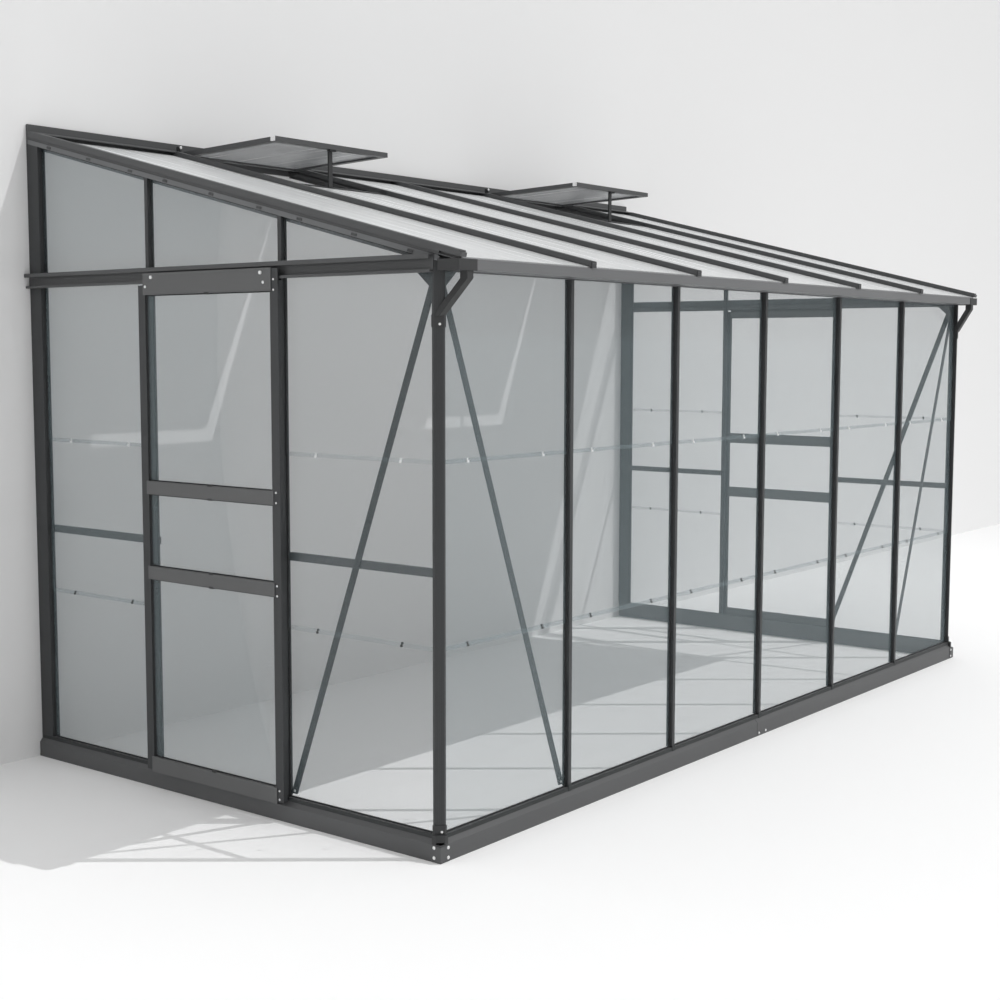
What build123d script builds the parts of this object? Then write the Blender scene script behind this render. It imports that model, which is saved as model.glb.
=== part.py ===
from build123d import *
import os
from math import cos, radians, sin, tan

# Lean-to greenhouse: an aluminium frame of glazing bars on a U-shaped base, lapped glass panes,
# a sheet roof with two propped vents, and a sliding door hung outside each gable.
# Millimetres. X runs along the front, +Y points to the wall it leans on, +Z is up.
# The origin is on the ground, in the middle of the whole outline.

# Main sizes
front_bay = 620
front_bay_count = 6
gable_bay = 612
gable_bay_count = 3
wall_margin = 22
eave_reach = 92
eave_height = 1664
roof_pitch = 14.04

# Upright glazing bar, a slim extrusion with an outer cap, a slot for the glass and a short web inside
cap_width = 15
cap_depth = 12
neck_width = 4
slot_play = 1
flange_width = 12
flange_depth = 3
web_width = 6
web_depth = 6

# Rafter, the same kind of extrusion with a broader cap and flange and a foot on its deeper web
rafter_cap_width = 24
rafter_neck = 8
rafter_flange = 30
rafter_web_depth = 18
rafter_foot = 16
foot_depth = 4

# Base rail, its corner plates and the moulded corner feet with their drains
base_height = 77
base_reach = 23
base_lip = 13
base_sill_rise = 13
base_wall = 3
glass_rebate = 7
foot_chamfer = 20
foot_wall = 3
drain_width = 24
drain_height = 9
drain_rise = 6
plate_leg = 36
plate_thickness = 2.5
plate_margin = 3

# Corner and wall posts
post_inner = 14
post_chamfer = 19
post_wall = 3
post_flange = 12
wall_post_width = 62
shoe_height = 27
shoe_thickness = 3

# Eave beam, gable header with its door track, and inner rails
eave_depth = 46.8
eave_rebate = 9
header_drop = 4
header_height = 52
header_plate = 3
canopy_reach = 24
canopy_drop = 2
canopy_lip = 15
track_reach = 18
track_lip = 8
rail_height = 25
rail_depth = 12
mid_rail_share = 0.48618
transom_rise = 4
transom_height = 12
brace_width = 24
brace_thickness = 4
brace_drop = 24
brace_gap = 7
gusset_width = 74
gusset_height = 66

# Gutter, its end sleeves and the pipe that turns back to the corner post
gutter_inset = 4
gutter_rise = 2
gutter_depth = 29
gutter_back_rise = 5
gutter_wall = 2.5
gutter_overrun = 4
sleeve_length = 75
sleeve_wall = 2
sleeve_end = 3
spout_inset = 32
spout_edge = 14
spout_drop = 21
pipe_drop = 123
collar_drop = 154
collar_height = 35

# Rafters, wall bar and roof sheets
flange_inset = 14
skirt_depth = 28
skirt_thickness = 4
leg_depth = 42
wall_bar_depth = 9
wall_bar_reach = 47
wall_bar_rise = 37.24
wall_bar_flange = 3.5
sheet_play = 1
sheet_inset = 12

# Roof vents
plain_bay_count = 1
vent_side_gap = 3
vent_length = 512
vent_depth = 18
vent_bar = 25
vent_rise = 2.1
vent_groove = 8
vent_groove_low = 6
vent_sheet = 4
vent_sheet_gap = 1
vent_sill_width = 30
vent_sill_drop = 20
vent_sill_rise = 2
stay_width = 20
stay_thickness = 6

# Glass panes
glass_thickness = 3
pane_tiers = 3
pane_lap = 12
pane_gap = 1
lap_gap = 0.5
top_pane_rise = 12
top_pane_drop = 12

# Sliding door
door_overlap = 9.5
door_gap = 8
door_depth = 17
door_plate = 3
stile_width = 34
stile_drop = 6
rail_inset = 27
top_rail_height = 31
top_plate_rise = 32
upper_rail_share = 0.58954
lower_rail_share = 0.42188
mid_rail_height = 43
bottom_plate_low = 58
bottom_rail_rise = 32
door_groove = 8
door_groove_inset = 6
door_pane_gap = 1
roller_inset = 70
roller_tread = 10
roller_flange = 12.5
roller_groove = 4.2
roller_rim = 3
roller_hub = 4
roller_clearance = 0.3
axle_head = 5.5
axle_head_height = 4

# Derived places
pitch = radians(roof_pitch)
front_length = front_bay * front_bay_count
gable_x = -front_length / 2
glazed_depth = gable_bay * gable_bay_count + wall_margin
front_y = -(glazed_depth + eave_reach) / 2 + eave_reach
wall_y = front_y + glazed_depth
slot_depth = 2 * glass_thickness + slot_play
sheet_thickness = slot_depth - sheet_play
flange_back = slot_depth + flange_depth
bar_depth = flange_back + web_depth
rafter_depth = flange_back + rafter_web_depth + foot_depth
leg_back = bar_depth + skirt_thickness
roof_z = eave_height + eave_depth + flange_back / cos(pitch)
ridge_height = roof_z + glazed_depth * tan(pitch) + wall_bar_rise
wall_bar_face = wall_y - wall_bar_depth
hinge_y = wall_y - wall_bar_reach
base_sill_height = base_height - base_lip
base_face_height = base_sill_height - base_sill_rise
header_low = eave_height - header_drop
header_high = header_low + header_height
gutter_reach = eave_reach - gutter_inset
gutter_low = eave_height + gutter_rise
gutter_lip = gutter_low + gutter_depth
collar_low = eave_height - collar_drop
vent_bays = (plain_bay_count, front_bay_count - 1 - plain_bay_count)
vent_width = front_bay - rafter_cap_width - 2 * vent_side_gap
pane_edge = neck_width / 2 + pane_gap
door_width = gable_bay + cap_width + 2 * door_overlap
door_back = cap_depth + door_gap
door_front = door_back + door_depth
door_face = door_front + door_plate
bar_lines = [gable_x + front_bay * k for k in range(front_bay_count + 1)]
post_lines = [front_y + gable_bay * k for k in range(gable_bay_count + 1)]
door_y = (post_lines[1] + post_lines[2]) / 2
left_mitre = Plane(origin=(gable_x, front_y, 0), z_dir=(1, -1, 0))
wall_bar_plane = Plane(origin=(0, wall_bar_face, 0), z_dir=(0, 1, 0))


def roof_height(y, rise):
    """Height, at a depth y, of the plane that lies a rise above the roof sheets' upper plane."""
    return roof_z + (y - front_y) * tan(pitch) + rise / cos(pitch)


def front_plan(x, z):
    """Level plane at the front glazing line, with its y axis pointing out of the house."""
    return Plane(origin=(x, front_y, z), x_dir=(-1, 0, 0), z_dir=(0, 0, 1))


def gable_plan(y, z):
    """Level plane at the left gable's glazing line, with its y axis pointing out of the house."""
    return Plane(origin=(gable_x, y, z), x_dir=(0, 1, 0), z_dir=(0, 0, 1))


def front_section(x):
    """Upright plane across the front wall: x axis outward, y axis up, normal toward -X."""
    return Plane(origin=(x, front_y, 0), x_dir=(0, -1, 0), z_dir=(-1, 0, 0))


def gable_section(y):
    """Upright plane across the left gable: x axis outward, y axis up, normal toward +Y."""
    return Plane(origin=(gable_x, y, 0), x_dir=(-1, 0, 0), z_dir=(0, 1, 0))


def roof_section(x, y):
    """Plane across a rafter: x axis along the house, y axis out of the roof, normal down the slope."""
    origin = (x, y, roof_height(y, 0))
    return Plane(origin=origin, x_dir=(1, 0, 0), z_dir=(0, -cos(pitch), -sin(pitch)))


def roof_cut(rise):
    """Plane parallel to the roof, a rise above the sheets' upper plane."""
    origin = (0, front_y, roof_height(front_y, rise))
    return Plane(origin=origin, x_dir=(1, 0, 0), z_dir=(0, -sin(pitch), cos(pitch)))


def extrude_outline(points, plane, length):
    """Add a prism with a straight-sided outline, drawn on a plane, to the current part."""
    with BuildSketch(plane) as outline:
        with BuildLine():
            Polyline(*points, close=True)
        make_face()
    extrude(outline.sketch, amount=length, dir=plane.z_dir)


def box_outline(low_x, high_x, low_y, high_y):
    """Corners of an upright rectangle."""
    return [(low_x, low_y), (high_x, low_y), (high_x, high_y), (low_x, high_y)]


def bar_outline():
    """Upright bar section: cap outside, neck between the panes, flange and short web inside."""
    half = [
        (cap_width / 2, cap_depth),
        (cap_width / 2, 0),
        (neck_width / 2, 0),
        (neck_width / 2, -slot_depth),
        (flange_width / 2, -slot_depth),
        (flange_width / 2, -flange_back),
        (web_width / 2, -flange_back),
        (web_width / 2, -bar_depth),
    ]
    return half + [(-x, y) for x, y in reversed(half)]


def rafter_head_outline():
    """Upper part of a rafter: cap, neck between the sheets and flange under them."""
    half = [
        (rafter_cap_width / 2, cap_depth),
        (rafter_cap_width / 2, 0),
        (rafter_neck / 2, 0),
        (rafter_neck / 2, -slot_depth),
        (rafter_flange / 2, -slot_depth),
        (rafter_flange / 2, -flange_back),
    ]
    return half + [(-x, y) for x, y in reversed(half)]


def rafter_leg_outline():
    """Lower part of a rafter: its web, with a foot along the bottom edge."""
    half = [
        (web_width / 2, -slot_depth),
        (web_width / 2, -flange_back - rafter_web_depth),
        (rafter_foot / 2, -flange_back - rafter_web_depth),
        (rafter_foot / 2, -rafter_depth),
    ]
    return half + [(-x, y) for x, y in reversed(half)]


def cap_outline():
    """Cap of a rafter alone, as it runs out over the gutter."""
    return box_outline(-rafter_cap_width / 2, rafter_cap_width / 2, 0, cap_depth)


def gable_rafter_outline():
    """Section of the left edge rafter: a skirt outside the glass and a flange that reaches past the posts."""
    return [
        (-cap_depth, -skirt_depth),
        (-cap_depth + skirt_thickness, -skirt_depth),
        (-cap_depth + skirt_thickness, -flange_back),
        (leg_back, -flange_back),
        (leg_back, -slot_depth),
        (rafter_neck / 2, -slot_depth),
        (rafter_neck / 2, 0),
        (rafter_cap_width / 2, 0),
        (rafter_cap_width / 2, cap_depth),
        (-cap_depth, cap_depth),
    ]


def base_outline():
    """Base rail section: upright face, sloped sill, glass rebate and inner face."""
    return [
        (base_reach, 0),
        (base_reach, base_face_height),
        (cap_depth, base_sill_height),
        (cap_depth, base_height),
        (0, base_height),
        (0, base_height - glass_rebate),
        (-slot_depth, base_height - glass_rebate),
        (-slot_depth, base_height),
        (-flange_back, base_height),
        (-flange_back, 0),
    ]


def base_hollow_outline():
    """Hollow inside the base rail."""
    hollow_top = base_sill_height - base_wall
    return [
        (base_reach - base_wall, base_wall),
        (base_reach - base_wall, base_face_height - base_wall),
        (cap_depth - base_wall, hollow_top),
        (-flange_back + base_wall, hollow_top),
        (-flange_back + base_wall, base_wall),
    ]


def post_outline():
    """Left corner post in plan, seen from the corner of the glazing lines: chamfered outside."""
    return [
        (-cap_depth, post_inner),
        (-cap_depth, post_chamfer - cap_depth),
        (post_chamfer - cap_depth, -cap_depth),
        (post_inner, -cap_depth),
        (post_inner, post_inner),
    ]


def wrap_outline(thickness):
    """Shell round the three outer sides of the left corner post."""
    turn = thickness * (2**0.5 - 1)
    return [
        (-cap_depth, post_inner),
        (-cap_depth, post_chamfer - cap_depth),
        (post_chamfer - cap_depth, -cap_depth),
        (post_inner, -cap_depth),
        (post_inner, -cap_depth - thickness),
        (post_chamfer - cap_depth - turn, -cap_depth - thickness),
        (-cap_depth - thickness, post_chamfer - cap_depth - turn),
        (-cap_depth - thickness, post_inner),
    ]


def grooved_outline(width, low, high, groove, groove_low, groove_high):
    """Frame bar section with a glass groove in its far side."""
    return [
        (0, low),
        (width, low),
        (width, groove_low),
        (width - groove, groove_low),
        (width - groove, groove_high),
        (width, groove_high),
        (width, high),
        (0, high),
    ]


def corner_plan(z):
    """Level plane at the left corner of the glazing lines, with axes along X and Y."""
    return Plane(origin=(gable_x, front_y, z), x_dir=(1, 0, 0), z_dir=(0, 0, 1))


def save(piece, name):
    """Name a finished piece and write it as its own file."""
    piece.part.label = name
    export_step(piece.part, f"parts/{name}.step")


def cut_foot_seat():
    """Cut the left corner of a base rail away above its face, to make room for the moulded foot."""
    with BuildSketch(corner_plan(base_face_height)) as seat:
        with BuildLine():
            Polyline(*box_outline(-base_reach, flange_back, -base_reach, flange_back), close=True)
        make_face()
    extrude(seat.sketch, amount=base_height, dir=(0, 0, 1), mode=Mode.SUBTRACT)


os.makedirs("parts", exist_ok=True)

# Base: three mitred rails, hollow, with a plate round each front corner
with BuildPart() as base_front_rail:
    extrude_outline(base_outline(), front_section(0), -gable_x + base_reach)
    with BuildSketch(front_section(0)) as hollow:
        with BuildLine():
            Polyline(*base_hollow_outline(), close=True)
        make_face()
    extrude(hollow.sketch, amount=-gable_x + base_reach, dir=(-1, 0, 0), mode=Mode.SUBTRACT)
    split(bisect_by=left_mitre, keep=Keep.TOP)
    cut_foot_seat()
    mirror(about=Plane.YZ)
save(base_front_rail, "base_front_rail")

with BuildPart() as base_left_rail:
    extrude_outline(base_outline(), gable_section(front_y - base_reach), glazed_depth + base_reach)
    with BuildSketch(gable_section(front_y - base_reach)) as hollow:
        with BuildLine():
            Polyline(*base_hollow_outline(), close=True)
        make_face()
    extrude(hollow.sketch, amount=glazed_depth + base_reach, dir=(0, 1, 0), mode=Mode.SUBTRACT)
    split(bisect_by=left_mitre, keep=Keep.BOTTOM)
    cut_foot_seat()
save(base_left_rail, "base_left_rail")

with BuildPart() as base_right_rail:
    mirror(base_left_rail.part, about=Plane.YZ)
save(base_right_rail, "base_right_rail")

with BuildPart() as base_corner_plates:
    outer = -base_reach - plate_thickness
    plate_points = [
        (outer, outer),
        (plate_leg + outer, outer),
        (plate_leg + outer, -base_reach),
        (-base_reach, -base_reach),
        (-base_reach, plate_leg + outer),
        (outer, plate_leg + outer),
    ]
    extrude_outline(plate_points, corner_plan(plate_margin), base_face_height - 2 * plate_margin)
    mirror(about=Plane.YZ)
save(base_corner_plates, "base_corner_plates")

# Posts at the corners and at the wall, cut to the slope under the edge rafters
with BuildPart() as corner_posts:
    with BuildSketch(corner_plan(base_height)) as post_section:
        with BuildLine():
            Polyline(*post_outline(), close=True)
        make_face()
        offset(amount=-post_wall, mode=Mode.SUBTRACT)
        with BuildLine():
            gable_seat = box_outline(slot_depth, flange_back, post_inner, post_inner + post_flange)
            Polyline(*gable_seat, close=True)
        make_face()
    extrude(amount=eave_height)
    split(bisect_by=roof_cut(-skirt_depth), keep=Keep.BOTTOM)
    front_seat = box_outline(post_inner, post_inner + post_flange, slot_depth, flange_back)
    extrude_outline(front_seat, corner_plan(base_height), eave_height - base_height)
    mirror(about=Plane.YZ)
save(corner_posts, "corner_posts")

with BuildPart() as corner_shoes:
    foot_points = [
        (-base_reach, flange_back),
        (-base_reach, foot_chamfer - base_reach),
        (foot_chamfer - base_reach, -base_reach),
        (flange_back, -base_reach),
        (flange_back, flange_back),
    ]
    extrude_outline(foot_points, corner_plan(base_face_height), base_height - base_face_height)
    with BuildSketch(corner_plan(base_face_height)) as foot_hollow:
        with BuildLine():
            Polyline(*foot_points, close=True)
        make_face()
        offset(amount=-foot_wall, mode=Mode.REPLACE)
    hollow_height = base_height - base_face_height - foot_wall
    extrude(foot_hollow.sketch, amount=hollow_height, dir=(0, 0, 1), mode=Mode.SUBTRACT)
    drain_origin = (gable_x - base_reach, front_y - base_reach, base_face_height + drain_rise)
    drain_face = Plane(origin=drain_origin, x_dir=(1, -1, 0), z_dir=(1, 1, 0))
    with BuildSketch(drain_face) as drain:
        with BuildLine():
            Polyline(*box_outline(-drain_width / 2, drain_width / 2, 0, drain_height), close=True)
        make_face()
    extrude(drain.sketch, amount=foot_chamfer, dir=(1, 1, 0), mode=Mode.SUBTRACT)
    extrude_outline(wrap_outline(shoe_thickness), corner_plan(base_height), shoe_height)
    mirror(about=Plane.YZ)
save(corner_shoes, "corner_shoes")

with BuildPart() as wall_posts:
    with BuildSketch(gable_plan(wall_y, base_height)) as post_section:
        with BuildLine():
            wall_tube = box_outline(-wall_post_width, 0, -post_inner, cap_depth)
            Polyline(*wall_tube, close=True)
        make_face()
        offset(amount=-post_wall, mode=Mode.SUBTRACT)
        with BuildLine():
            seat_start = -wall_post_width - post_flange
            wall_seat = box_outline(seat_start, -wall_post_width, -flange_back, -slot_depth)
            Polyline(*wall_seat, close=True)
        make_face()
    extrude(amount=ridge_height)
    split(bisect_by=roof_cut(-skirt_depth), keep=Keep.BOTTOM)
    mirror(about=Plane.YZ)
save(wall_posts, "wall_posts")

# Upright glazing bars
with BuildPart() as front_glazing_bars:
    for x in bar_lines[1:-1]:
        extrude_outline(bar_outline(), front_plan(x, base_height), eave_height - base_height)
save(front_glazing_bars, "front_glazing_bars")

with BuildPart() as left_gable_posts:
    for y in post_lines[1:-1]:
        extrude_outline(bar_outline(), gable_plan(y, base_height), ridge_height)
    split(bisect_by=roof_cut(-skirt_depth), keep=Keep.BOTTOM)
save(left_gable_posts, "left_gable_posts")

with BuildPart() as right_gable_posts:
    mirror(left_gable_posts.part, about=Plane.YZ)
save(right_gable_posts, "right_gable_posts")

# Eave beam, with a sloped top for the rafters and a rebate for the glass
with BuildPart() as front_eave_beam:
    beam_top = eave_height + eave_depth
    eave_points = [
        (cap_depth, eave_height),
        (cap_depth, beam_top - cap_depth * tan(pitch)),
        (-flange_back, beam_top + flange_back * tan(pitch)),
        (-flange_back, eave_height),
        (-slot_depth, eave_height),
        (-slot_depth, eave_height + eave_rebate),
        (0, eave_height + eave_rebate),
        (0, eave_height),
    ]
    half_beam = -gable_x - post_inner
    extrude_outline(eave_points, front_section(half_beam), 2 * half_beam)
save(front_eave_beam, "front_eave_beam")

# Gable header: a back plate, a canopy with a lip above and the door's hooked track below
with BuildPart() as left_gable_header:
    plate_face = cap_depth + header_plate
    track_edge = cap_depth + track_reach
    track_top = header_low + header_plate
    canopy_edge = cap_depth + canopy_reach
    header_points = [
        (cap_depth, header_low),
        (track_edge, header_low),
        (track_edge, header_low + track_lip),
        (track_edge - header_plate, header_low + track_lip),
        (track_edge - header_plate, track_top),
        (plate_face, track_top),
        (plate_face, header_high - header_plate),
        (canopy_edge - header_plate, header_high - canopy_drop - header_plate),
        (canopy_edge - header_plate, header_high - canopy_lip),
        (canopy_edge, header_high - canopy_lip),
        (canopy_edge, header_high - canopy_drop),
        (cap_depth, header_high),
    ]
    header_start = front_y + post_chamfer - cap_depth
    extrude_outline(header_points, gable_section(header_start), wall_y - header_start)
save(left_gable_header, "left_gable_header")

with BuildPart() as right_gable_header:
    mirror(left_gable_header.part, about=Plane.YZ)
save(right_gable_header, "right_gable_header")

# Inner rails of the gables: a transom behind each header bay and a mid rail in the glazed bays
rail_starts = [post_lines[0] + post_inner] + [y + web_width / 2 for y in post_lines[1:-1]]
rail_ends = [y - web_width / 2 for y in post_lines[1:-1]] + [wall_y - wall_post_width]
glazed_bays = (0, gable_bay_count - 1)

with BuildPart() as left_gable_rails:
    for bay, (start, end) in enumerate(zip(rail_starts, rail_ends)):
        outer = -flange_back - brace_thickness
        inner = outer - rail_depth
        transom_low = eave_height + transom_rise
        transom = box_outline(inner, outer, transom_low, transom_low + transom_height)
        extrude_outline(transom, gable_section(start), end - start)
        if bay in glazed_bays:
            mid_rail_low = eave_height * mid_rail_share
            mid_rail = box_outline(inner, outer, mid_rail_low, mid_rail_low + rail_height)
            extrude_outline(mid_rail, gable_section(start), end - start)
save(left_gable_rails, "left_gable_rails")

with BuildPart() as right_gable_rails:
    mirror(left_gable_rails.part, about=Plane.YZ)
save(right_gable_rails, "right_gable_rails")


def brace_outline(bay):
    """Slanted flat bar from the corner post's head to the foot of the first bar."""
    top = post_inner + brace_width / 2
    foot = bay - web_width / 2 - brace_width / 2
    brace_top = eave_height - brace_drop
    brace_foot = base_height + brace_gap
    return [
        (top - brace_width / 2, brace_top),
        (foot - brace_width / 2, brace_foot),
        (foot + brace_width / 2, brace_foot),
        (top + brace_width / 2, brace_top),
    ]


# Diagonal braces inside the corner bays, each with a gusset under the eave
gusset = [
    (post_inner, eave_height),
    (post_inner, eave_height - gusset_height),
    (post_inner + gusset_width, eave_height),
]

with BuildPart() as corner_braces:
    front_origin = (gable_x, front_y + flange_back, 0)
    front_face = Plane(origin=front_origin, x_dir=(1, 0, 0), z_dir=(0, -1, 0))
    extrude_outline(brace_outline(front_bay), front_face, -brace_thickness)
    extrude_outline(gusset, front_face, -brace_thickness)
    gable_origin = (gable_x + flange_back, front_y, 0)
    gable_face = Plane(origin=gable_origin, x_dir=(0, 1, 0), z_dir=(1, 0, 0))
    extrude_outline(brace_outline(gable_bay), gable_face, brace_thickness)
    extrude_outline(gusset, gable_face, brace_thickness)
    mirror(about=Plane.YZ)
save(corner_braces, "corner_braces")

# Gutter under the rafter tips, and the end sleeves with their pipes back to the corner posts
with BuildPart() as front_gutter:
    gutter_back = gutter_lip + gutter_back_rise
    gutter_points = [
        (cap_depth, gutter_low),
        (gutter_reach, gutter_low),
        (gutter_reach, gutter_lip),
        (gutter_reach - gutter_wall, gutter_lip),
        (gutter_reach - gutter_wall, gutter_low + gutter_wall),
        (cap_depth + gutter_wall, gutter_low + gutter_wall),
        (cap_depth + gutter_wall, gutter_back),
        (cap_depth, gutter_back),
    ]
    half_gutter = -gable_x + cap_depth + gutter_overrun
    extrude_outline(gutter_points, front_section(half_gutter), 2 * half_gutter)
save(front_gutter, "front_gutter")

with BuildPart() as gutter_outlets:
    sleeve_low = gutter_low - sleeve_wall
    sleeve_face = gutter_reach + sleeve_wall
    sleeve_points = [
        (cap_depth, sleeve_low),
        (sleeve_face, sleeve_low),
        (sleeve_face, gutter_lip),
        (gutter_reach, gutter_lip),
        (gutter_reach, gutter_low),
        (cap_depth, gutter_low),
    ]
    end_face = gable_x - cap_depth - gutter_overrun
    extrude_outline(sleeve_points, front_section(end_face + sleeve_length), sleeve_length)
    end_plate = box_outline(cap_depth, sleeve_face, sleeve_low, gutter_lip)
    extrude_outline(end_plate, front_section(end_face), sleeve_end)
    pipe_side = cap_depth + post_inner
    spout_reach = gutter_reach - spout_edge
    spout_bottom = eave_height - spout_drop
    spout = box_outline(
        spout_inset - pipe_side / 2,
        spout_inset + pipe_side / 2,
        -spout_reach - pipe_side / 2,
        -spout_reach + pipe_side / 2,
    )
    extrude_outline(spout, corner_plan(spout_bottom), sleeve_low - spout_bottom)
    with BuildSketch(corner_plan(spout_bottom)) as pipe_section:
        with BuildLine():
            Polyline(*spout, close=True)
        make_face()
    pipe_centre = (post_inner - cap_depth) / 2
    pipe_fall = spout_drop - pipe_drop
    pipe_run = Vector(pipe_centre - spout_inset, spout_reach + pipe_centre, pipe_fall)
    extrude(pipe_section.sketch, amount=pipe_run.length, dir=pipe_run)
    with BuildSketch(corner_plan(collar_low)) as post_core:
        with BuildLine():
            Polyline(*post_outline(), close=True)
        make_face()
        with BuildLine():
            behind_pipe = box_outline(post_inner, sleeve_length, -cap_depth, post_inner)
            Polyline(*behind_pipe, close=True)
        make_face()
    extrude(post_core.sketch, amount=eave_height - collar_low, dir=(0, 0, 1), mode=Mode.SUBTRACT)
    extrude_outline(wrap_outline(shoe_thickness), corner_plan(collar_low), collar_height)
    mirror(about=Plane.YZ)
save(gutter_outlets, "gutter_outlets")

# Rafters: the web starts behind the eave beam, the flange ends over the gutter, the cap runs on
beam_back = front_y + flange_back
eave_tip = front_y - eave_reach + cap_depth * sin(pitch)
flange_tip = front_y - eave_reach + flange_inset


def extrude_rafter(points, x, low_y):
    """Run a rafter section up the slope from a depth to past the wall bar's face."""
    length = (wall_y - low_y) / cos(pitch)
    extrude_outline(points, roof_section(x, wall_y), length)


with BuildPart() as roof_rafters:
    for x in bar_lines[1:-1]:
        extrude_rafter(rafter_leg_outline(), x, beam_back + rafter_depth * sin(pitch))
        extrude_rafter(rafter_head_outline(), x, flange_tip)
        extrude_rafter(cap_outline(), x, eave_tip)
    split(bisect_by=wall_bar_plane, keep=Keep.BOTTOM)
save(roof_rafters, "roof_rafters")

with BuildPart() as left_gable_rafter:
    extrude_rafter(gable_rafter_outline(), gable_x, front_y - cap_depth)
    leg = box_outline(bar_depth, leg_back, -leg_depth, -slot_depth)
    extrude_rafter(leg, gable_x, beam_back + leg_depth * sin(pitch))
    extrude_rafter(rafter_head_outline(), gable_x, flange_tip)
    extrude_rafter(cap_outline(), gable_x, eave_tip)
    split(bisect_by=wall_bar_plane, keep=Keep.BOTTOM)
save(left_gable_rafter, "left_gable_rafter")

with BuildPart() as right_gable_rafter:
    mirror(left_gable_rafter.part, about=Plane.YZ)
save(right_gable_rafter, "right_gable_rafter")

# Wall bar: a plate on the wall with a flange over the upper ends of the roof
with BuildPart() as wall_bar:
    flange_top = cap_depth + wall_bar_flange * cos(pitch)
    wall_bar_points = [
        (-wall_y, roof_height(wall_y, -skirt_depth)),
        (-wall_y, ridge_height),
        (-wall_bar_face, ridge_height),
        (-wall_bar_face, roof_height(wall_bar_face, flange_top)),
        (-hinge_y, roof_height(hinge_y, flange_top)),
        (-hinge_y, roof_height(hinge_y, cap_depth)),
        (-wall_bar_face, roof_height(wall_bar_face, cap_depth)),
        (-wall_bar_face, roof_height(wall_y, -skirt_depth)),
    ]
    half_bar = -gable_x + rafter_cap_width / 2
    bar_section = Plane(origin=(half_bar, 0, 0), x_dir=(0, -1, 0), z_dir=(-1, 0, 0))
    extrude_outline(wall_bar_points, bar_section, 2 * half_bar)
save(wall_bar, "wall_bar")

# Roof sheets, shorter below the vents, and the sill bars that close the vent openings
sill_back = hinge_y - (vent_length - vent_sill_width) * cos(pitch)
sill_front = sill_back - vent_sill_width * cos(pitch)

with BuildPart() as roof_sheets:
    for bay in range(front_bay_count):
        top = sill_front if bay in vent_bays else wall_bar_face - sheet_thickness
        sheet = box_outline(
            rafter_neck / 2 + pane_gap,
            front_bay - rafter_neck / 2 - pane_gap,
            -slot_depth,
            -slot_depth + sheet_thickness,
        )
        length = (top - front_y + eave_reach - sheet_inset) / cos(pitch)
        extrude_outline(sheet, roof_section(bar_lines[bay], top), length)
save(roof_sheets, "roof_sheets")

with BuildPart() as vent_sills:
    for bay in vent_bays:
        sill = [
            (web_width / 2, -vent_sill_drop),
            (front_bay - web_width / 2, -vent_sill_drop),
            (front_bay - web_width / 2, -flange_back),
            (front_bay - rafter_flange / 2, -flange_back),
            (front_bay - rafter_flange / 2, vent_sill_rise),
            (rafter_flange / 2, vent_sill_rise),
            (rafter_flange / 2, -flange_back),
            (web_width / 2, -flange_back),
        ]
        extrude_outline(sill, roof_section(bar_lines[bay], sill_back), vent_sill_width)
save(vent_sills, "vent_sills")

# Vents, propped open, with a sheet in the grooves of their frames
vent_tilt = radians(vent_rise)
vent_low = roof_height(hinge_y, flange_top) - vent_depth
vent_back = hinge_y - vent_depth * sin(vent_tilt)


def vent_plane(bay):
    """Underside of a vent: origin at the middle of its hinge line, y axis toward the hinge."""
    origin = (bar_lines[bay] + front_bay / 2, vent_back, vent_low)
    return Plane(origin=origin, x_dir=(1, 0, 0), z_dir=(0, sin(vent_tilt), cos(vent_tilt)))


def vent_outline():
    """Section of a vent's frame bar, with the sheet's groove on its inner side."""
    groove_top = vent_groove_low + vent_sheet
    return grooved_outline(vent_bar, 0, vent_depth, vent_groove, vent_groove_low, groove_top)


def vent_side_bars(bay):
    """The two bars that run from the hinge to the free edge."""
    base = vent_plane(bay)
    start = base.from_local_coords((-vent_width / 2, -vent_bar, 0))
    left_side = Plane(origin=start, x_dir=(1, 0, 0), z_dir=-base.y_dir)
    extrude_outline(vent_outline(), left_side, vent_length - 2 * vent_bar)
    middle = Plane(origin=base.origin, z_dir=(1, 0, 0))
    mirror(about=middle)


def vent_cross_bars(bay):
    """The hinge bar and the bar at the free edge."""
    base = vent_plane(bay)
    hinge_start = base.from_local_coords((vent_width / 2, 0, 0))
    hinge_bar = Plane(origin=hinge_start, x_dir=-base.y_dir, z_dir=(-1, 0, 0))
    extrude_outline(vent_outline(), hinge_bar, vent_width)
    free_start = base.from_local_coords((-vent_width / 2, -vent_length, 0))
    free_bar = Plane(origin=free_start, x_dir=base.y_dir, z_dir=(1, 0, 0))
    extrude_outline(vent_outline(), free_bar, vent_width)


for side, bay in zip(("left", "right"), vent_bays):
    with BuildPart() as side_bars:
        vent_side_bars(bay)
    save(side_bars, f"{side}_vent_side_bars")
    with BuildPart() as cross_bars:
        vent_cross_bars(bay)
    save(cross_bars, f"{side}_vent_cross_bars")

with BuildPart() as vent_panes:
    for bay in vent_bays:
        inset = vent_bar - vent_groove + vent_sheet_gap
        pane = box_outline(
            -vent_width / 2 + inset,
            vent_width / 2 - inset,
            -vent_length + vent_bar - vent_groove,
            -inset,
        )
        extrude_outline(pane, vent_plane(bay).offset(vent_groove_low), vent_sheet)
save(vent_panes, "vent_panes")

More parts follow.
